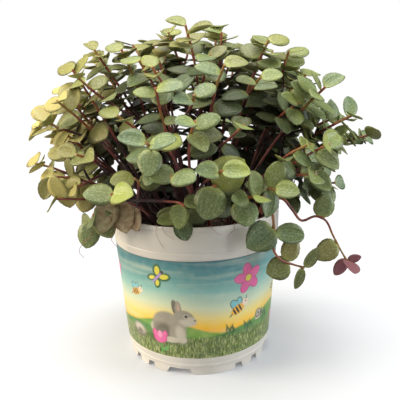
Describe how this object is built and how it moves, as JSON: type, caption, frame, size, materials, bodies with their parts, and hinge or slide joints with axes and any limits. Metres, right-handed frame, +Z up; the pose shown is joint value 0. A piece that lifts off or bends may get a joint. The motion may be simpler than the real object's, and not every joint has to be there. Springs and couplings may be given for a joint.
{
  "type": "potted turtle vine",
  "caption": "Turtle vine in a white plastic nursery pot with a printed meadow label: a dense mound of small oval leaves on red-brown stems, with a few shoots trailing over the rim.",
  "frame": {"origin": "on the floor, on the pot's axis, which is also the middle of the plant's plan within two millimetres", "axes": "+Z up; +Y towards the back of the plant, away from the side with the printed picture; +X to the viewer's right"},
  "size_m": [0.2212, 0.2068, 0.2182],
  "materials": {
    "pot_plastic": "white injection-moulded plastic, satin",
    "print_film": "thin printed film with a soft sheen",
    "damp_mix": "damp peat and fibre",
    "foliage": "matte succulent leaves on red-brown stems"
  },
  "bodies": {
    "root": {"pot": "pot_plastic", "printed_label": "print_film", "potting_mix": "damp_mix", "shoot_01": "foliage", "shoot_02": "foliage", "shoot_03": "foliage", "shoot_04": "foliage", "shoot_05": "foliage", "shoot_06": "foliage", "shoot_07": "foliage", "shoot_08": "foliage", "shoot_09": "foliage", "shoot_10": "foliage", "shoot_11": "foliage", "shoot_12": "foliage", "shoot_13": "foliage", "shoot_14": "foliage", "shoot_15": "foliage", "shoot_16": "foliage", "shoot_17": "foliage", "shoot_18": "foliage", "shoot_19": "foliage", "shoot_20": "foliage", "shoot_21": "foliage", "shoot_22": "foliage", "shoot_23": "foliage", "shoot_24": "foliage", "shoot_25": "foliage", "shoot_26": "foliage", "shoot_27": "foliage", "shoot_28": "foliage", "shoot_29": "foliage", "shoot_30": "foliage", "shoot_31": "foliage", "shoot_32": "foliage", "shoot_33": "foliage", "shoot_34": "foliage", "shoot_35": "foliage", "shoot_36": "foliage", "shoot_37": "foliage", "shoot_38": "foliage", "shoot_39": "foliage", "shoot_40": "foliage", "shoot_41": "foliage", "shoot_42": "foliage", "shoot_43": "foliage", "shoot_44": "foliage", "shoot_45": "foliage", "shoot_46": "foliage", "shoot_47": "foliage", "shoot_48": "foliage", "shoot_49": "foliage", "right_trailer": "foliage", "front_hanger": "foliage", "front_bright": "foliage", "rim_hanger": "foliage", "left_trailer": "foliage", "left_reacher": "foliage", "left_tip": "foliage", "right_reacher": "foliage"}
  },
  "joints": []
}
